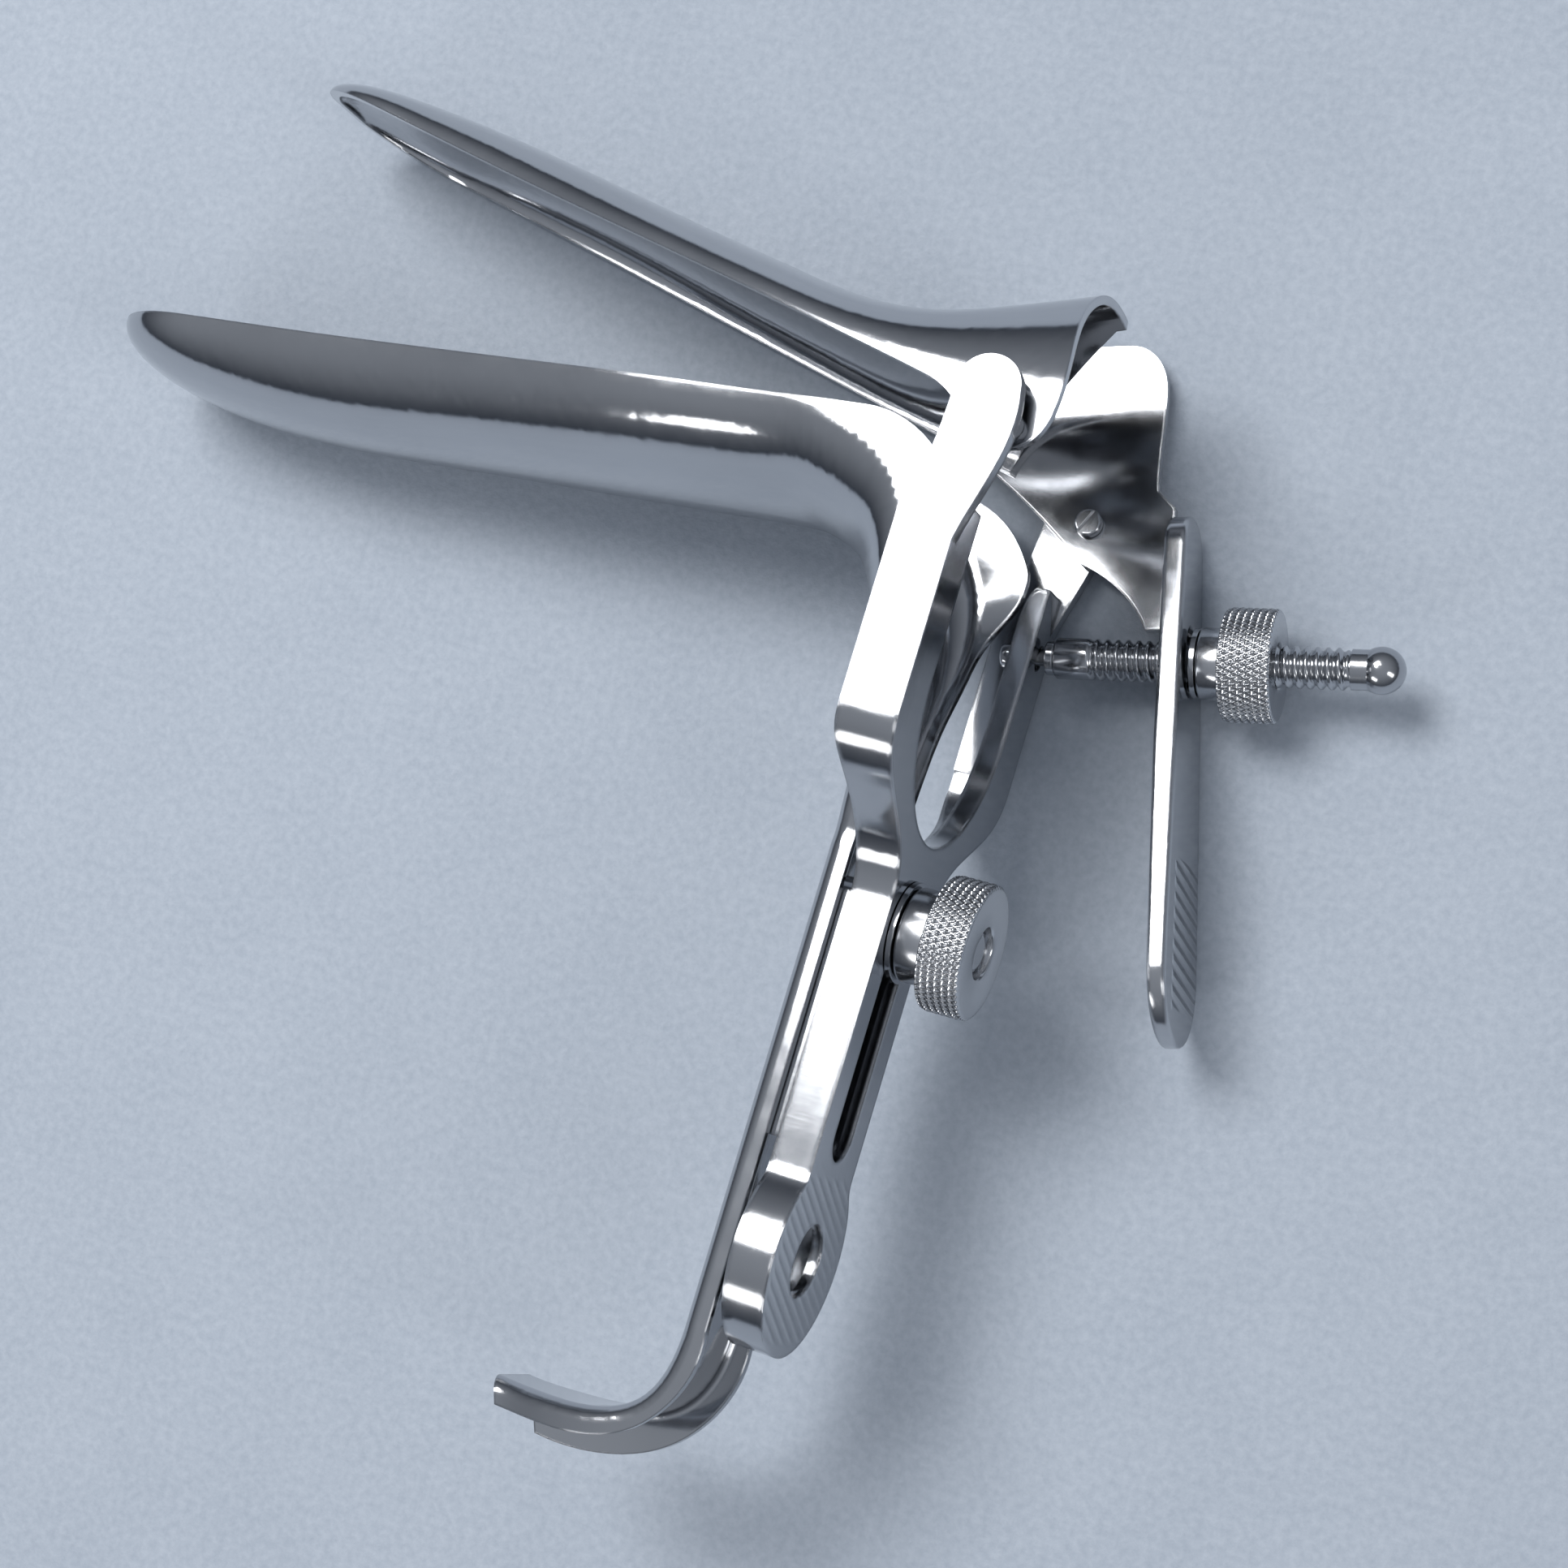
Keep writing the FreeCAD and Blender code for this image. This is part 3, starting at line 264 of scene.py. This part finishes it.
def lever_ribs(n, place):
    """Ridges on the thumb lever, and their depth."""
    down = (math.sin(LEVER_TILT), -math.cos(LEVER_TILT), 0)
    back = (math.cos(LEVER_TILT), math.sin(LEVER_TILT), 0)
    height = ribs(n, place, LEVER_TOP, down, back, slant=0.16, pitch=1.8,
                  run=(42.5, 58.8), width=(-9.6, 4.5), face=(2.3, 5.0))
    return height, LEVER_RIB_DEPTH


def pad_ribs(n, place):
    """Faint ridges on the pad round the stem's hole, and their depth."""
    height = ribs(n, place, PAD_CENTRE, (0, -1, 0), (1, 0, 0), slant=0.5, pitch=1.5,
                  run=(-9.0, 9.0), width=(-9.5, 9.5), face=(-0.15, 1.0))
    return height, PAD_RIB_DEPTH


# Tints of the steels
PRESSED_TINT = (0.52, 0.53, 0.55)
NUT_TINT = (0.60, 0.61, 0.63)
SCREW_TINT = (0.48, 0.49, 0.51)
ROD_TINT = (0.50, 0.51, 0.53)

# Steels of the pieces, their rounded edges in metres
blade_steel = polished_steel("blade steel", PRESSED_TINT, roughness=0.09, scratch=0.08, edge=0.0004)
yoke_steel = polished_steel("yoke steel", PRESSED_TINT, roughness=0.10, scratch=0.10, edge=0.0008,
                            relief=pad_ribs)
lever_steel = polished_steel("lever steel", PRESSED_TINT, roughness=0.10, scratch=0.10, edge=0.0006,
                             relief=lever_ribs)
nut_steel = polished_steel("nut steel", NUT_TINT, roughness=0.17, scratch=0.10, edge=0,
                           # The nuts get shade painted into the hollows of their knurls
                           wave=TURNED_WAVE, painted_hollow_shade=True)
screw_steel = polished_steel("screw steel", SCREW_TINT, roughness=0.13, scratch=0.12, edge=0.0001,
                             wave=TURNED_WAVE)
rod_steel = polished_steel("rod steel", ROD_TINT, roughness=0.15, scratch=0.10, edge=0,
                           # The rod gets shade painted into the hollows of its thread
                           wave=TURNED_WAVE, painted_hollow_shade=True)

NODES_OF = [
    (blade_steel, ("lower_blade", "upper_blade", "side_plate")),
    (yoke_steel, ("yoke",)),
    (lever_steel, ("thumb_lever",)),
    (nut_steel, ("handle_nut", "rod_nut")),
    (rod_steel, ("screw_rod",)),
    (screw_steel, ("handle_stud", "handle_washer", "rod_washer", "rod_ball", "rod_collar",
                   "near_pivot_screw", "far_pivot_screw", "near_pivot_spacer")),
]


def dress_nodes():
    """Give every solid its steel."""
    for material, names in NODES_OF:
        for name in names:
            for slot in bpy.data.objects[name].material_slots:
                slot.link = "DATA"
                slot.material = material


# Turned pieces with real knurls and thread

def lathe(name, rings, segments, axis, base, material, body, node):
    """Turned piece: rings of (distance, radius) in mm, the radius a number or a function of the turn."""
    side = AXIS_Z
    up = axis.cross(side).normalized()
    verts = []
    for x, radius in rings:
        for k in range(segments):
            turn = FULL_TURN * k / segments
            r = radius(turn) if callable(radius) else radius
            verts.append(base + (axis * x + (side * math.cos(turn) + up * math.sin(turn)) * r) * MM)
    faces = []
    for i in range(len(rings) - 1):
        for k in range(segments):
            a = i * segments + k
            b = i * segments + (k + 1) % segments
            faces.append((a, b, b + segments, a + segments))
    mesh = bpy.data.meshes.new(name)
    mesh.from_pydata(verts, [], faces)
    mesh.polygons.foreach_set("use_smooth", [True] * len(faces))
    mesh.materials.append(material)
    piece = bpy.data.objects.new(name, mesh)
    bpy.context.collection.objects.link(piece)
    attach(piece, body)
    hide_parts(node)


def tooth(value):
    """0 on a whole number and 1 halfway between two."""
    return 1 - abs(2 * (value % 1.0) - 1)


def around(x, radius, offsets):
    """Rings at offsets along the axis and outwards from a corner of a turned profile."""
    return [(x + along, radius + out) for along, out in offsets]


# Thumb nuts, in mm. The lists are offsets from the profile's corners: the bore's front
# edge, the hub's front edge and root, the rim's two faces, and the dished mouth behind
NUT_BORE = 2.56
RIM_ROUND = 0.55
RIM_MARGIN = 0.03
RIM_STEP = 0.1
KNURL_RUN = 1.7
KNURL_DEPTH = 0.42
KNURL_SLOPE = 1.2
SEGMENTS_PER_TOOTH = 8
BORE_EDGE = [(0.6, 0), (0.02, 0), (0, 0.02)]
HUB_EDGE = [(0, -0.4), (0.12, -0.12), (0.4, 0)]
HUB_ROOT = [(-0.15, 0), (-0.03, 0), (0, 0.05)]
RIM_FRONT = [(0, -1.0), (0.02, -RIM_ROUND)]
RIM_REAR = [(0, -RIM_ROUND - 0.05), (0, -1.0)]
MOUTH_EDGE = [(0, 0.25), (-0.06, 0.07), (-0.3, 0), (-2.6, -0.15)]
MOUTH_FLOOR = [(-2.9, 0.1), (-3.0, 0)]


def knurled(radius, x, count, limit):
    """Radius of a diamond knurl at x, up to a limit, as a function of the turn."""
    def shape(turn):
        across = count * turn / FULL_TURN
        height = min(tooth(across + x / KNURL_RUN), tooth(across - x / KNURL_RUN))
        return min(radius - KNURL_DEPTH * (1 - min(KNURL_SLOPE * height, 1.0)), limit)
    return shape


def knurled_nut(name, node, body, axis, base, start, hub, hub_length, radius, length, mouth, count):
    """Thumb nut: smooth hub, diamond-knurled rim with round shoulders, hole with a dished mouth."""
    seat = start + hub_length
    end = seat + length
    rings = around(start, NUT_BORE, BORE_EDGE) + around(start, hub, HUB_EDGE)
    rings += around(seat, hub, HUB_ROOT) + around(seat, radius, RIM_FRONT)
    steps = int(length / RIM_STEP)
    for k in range(steps + 1):
        x = seat + RIM_MARGIN + (length - 2 * RIM_MARGIN) * k / steps
        inset = clamp(min(x - seat, end - x) / RIM_ROUND)
        limit = radius - RIM_ROUND + math.sqrt(1 - (1 - inset) ** 2) * RIM_ROUND
        rings.append((x, knurled(radius, x - seat, count, limit)))
    rings += around(end, radius, RIM_REAR) + around(end, mouth, MOUTH_EDGE)
    rings += around(end, NUT_BORE, MOUTH_FLOOR) + around(start, NUT_BORE, BORE_EDGE[:1])
    lathe(name, rings, count * SEGMENTS_PER_TOOTH, axis, base, nut_steel, body, node)


# Screw rod, in mm from the axis that it swings on: peened head, neck, plain shank, and a
# rolled thread that runs out at both ends
THREAD_PITCH = 1.25
THREAD_CREST = 2.5
THREAD_ROOT = 2.04
THREAD_START = 6.8
THREAD_END = 38.1
RUN_IN = 1.2
RUN_OUT = 0.8
FLANK_SLOPE = 1.5
ROOT_FLAT = 0.2
RINGS_PER_PITCH = 14
ROD_SEGMENTS = 56
ROD_TIP = 41.0
HEAD = [(-4.05, 0.02), (-4.05, 0.9), (-3.9, 1.35), (-3.6, 1.5), (-2.15, 1.5), (-2.0, 1.35)]
NECK = [(-2.0, 1.0), (2.85, 1.0)]
SHOULDER = [(2.9, 1.05), (2.9, THREAD_CREST - 0.2), (3.1, THREAD_CREST)]
SHANK_END = [(THREAD_START - 0.1, THREAD_CREST)]
ROD_END = [(ROD_TIP - 0.2, THREAD_ROOT), (ROD_TIP, THREAD_ROOT - 0.2), (ROD_TIP, 0.02)]


def thread_radius(x):
    """Radius of the thread at x, as a function of the turn."""
    cut_in = clamp((x - THREAD_START) / RUN_IN)
    fade_out = clamp((THREAD_END - x) / RUN_OUT)

    def shape(turn):
        height = clamp(tooth(x / THREAD_PITCH - turn / FULL_TURN) * FLANK_SLOPE - ROOT_FLAT)
        cut = THREAD_CREST - (THREAD_CREST - THREAD_ROOT) * (1 - height) * cut_in
        return THREAD_ROOT + (cut - THREAD_ROOT) * fade_out
    return shape


def threaded_rod():
    """The lever's screw rod."""
    rings = HEAD + NECK + SHOULDER + SHANK_END
    length = THREAD_END - THREAD_START
    steps = int(length / (THREAD_PITCH / RINGS_PER_PITCH))
    for k in range(steps + 1):
        x = THREAD_START + length * k / steps
        rings.append((x, thread_radius(x)))
    lathe("threaded_rod", rings + ROD_END, ROD_SEGMENTS, ROD_AXIS, ROD_ANCHOR, rod_steel,
          "rod", "screw_rod")


def make_turned_pieces():
    """Both thumb nuts and the rod."""
    knurled_nut("knurled_lock_nut", "handle_nut", "lock_nut", AXIS_X, ORIGIN,
                start=0.8, hub=5.5, hub_length=3.6, radius=7.9, length=5.2, mouth=3.0, count=60)
    knurled_nut("knurled_rod_nut", "rod_nut", "nut", ROD_AXIS, ROD_ANCHOR,
                start=20.45, hub=4.3, hub_length=3.0, radius=6.8, length=6.2, mouth=2.75, count=50)
    threaded_rod()


# Sheet that the instrument lies on, in metres
SHEET_SIZE = 6.0
SHEET_STOPS = (0.35, 0.65)
SHEET_TONES = ((0.40, 0.45, 0.52), (0.48, 0.53, 0.60))
SHEET_ROUGHNESS = 0.85
GRAIN_SCALE = 900.0
GRAIN_SHARE = 0.75
GRAIN_STRENGTH = 0.35
GRAIN_HEIGHT = 0.0004
MOTTLE = (55.0, 3.0)


def make_floor():
    """Plain matt sheet with a fine grain."""
    bpy.ops.mesh.primitive_plane_add(size=SHEET_SIZE, location=(0, 0, 0))
    floor = bpy.context.object
    floor.name = "table"
    n = Nodes("grey blue sheet")
    place = n.add("ShaderNodeTexCoord").outputs["Object"]
    grain = n.noise(place, GRAIN_SCALE)
    mottle = n.noise(place, *MOTTLE)
    grain_part = n.math("MULTIPLY", grain, GRAIN_SHARE)
    mixed = n.math("ADD", grain_part, n.math("MULTIPLY", mottle, 1 - GRAIN_SHARE))
    tone = n.ramp(mixed, SHEET_STOPS, SHEET_TONES)
    n.fill(n.shader, {"Base Color": tone, "Roughness": SHEET_ROUGHNESS,
                      "Normal": n.bump(grain, GRAIN_STRENGTH, GRAIN_HEIGHT)})
    floor.data.materials.append(n.material)


# Soft studio light: a big lamp up and behind on the left, and weaker ones on the right and
# in front, each with its place and size in metres and its power in watts
LAMPS = [
    ("key", (-0.33, 0.33, 0.87), (0.45, 0.40), 7.0),
    ("fill", (0.75, -0.15, 0.55), (0.20, 0.5), 1.2),
    ("front", (-0.25, -0.75, 0.5), (0.4, 0.2), 1.2),
]
LIGHT_AIM = Vector((0, 0, 0.02))
SKY_LOW = (0.06, 0.07, 0.09, 1)
SKY_HIGH = (0.42, 0.45, 0.50, 1)
SKY_STRENGTH = 0.9


def make_lamps():
    """Area lamps that all aim at the instrument."""
    for name, place, size, power in LAMPS:
        data = bpy.data.lights.new(name, "AREA")
        data.shape = "RECTANGLE"
        data.size, data.size_y = size
        data.energy = power
        lamp = bpy.data.objects.new(name, data)
        bpy.context.collection.objects.link(lamp)
        lamp.location = place
        lamp.rotation_euler = (LIGHT_AIM - Vector(place)).to_track_quat("-Z", "Y").to_euler()


def make_sky():
    """Room round the instrument: pale overhead, dark at the horizon and below."""
    world = bpy.data.worlds.new("studio")
    world.use_nodes = True
    nodes = world.node_tree.nodes
    link = world.node_tree.links.new
    sky = nodes.new("ShaderNodeTexCoord")
    split = nodes.new("ShaderNodeSeparateXYZ")
    fade = nodes.new("ShaderNodeValToRGB")
    link(sky.outputs["Generated"], split.inputs[0])
    link(split.outputs["Z"], fade.inputs["Fac"])
    low, high = fade.color_ramp.elements
    low.color = SKY_LOW
    high.color = SKY_HIGH
    link(fade.outputs["Color"], nodes["Background"].inputs["Color"])
    nodes["Background"].inputs["Strength"].default_value = SKY_STRENGTH
    bpy.context.scene.world = world


dress_nodes()
make_turned_pieces()
make_floor()
make_lamps()
make_sky()
make_camera()
bpy.context.scene.view_settings.view_transform = "Standard"
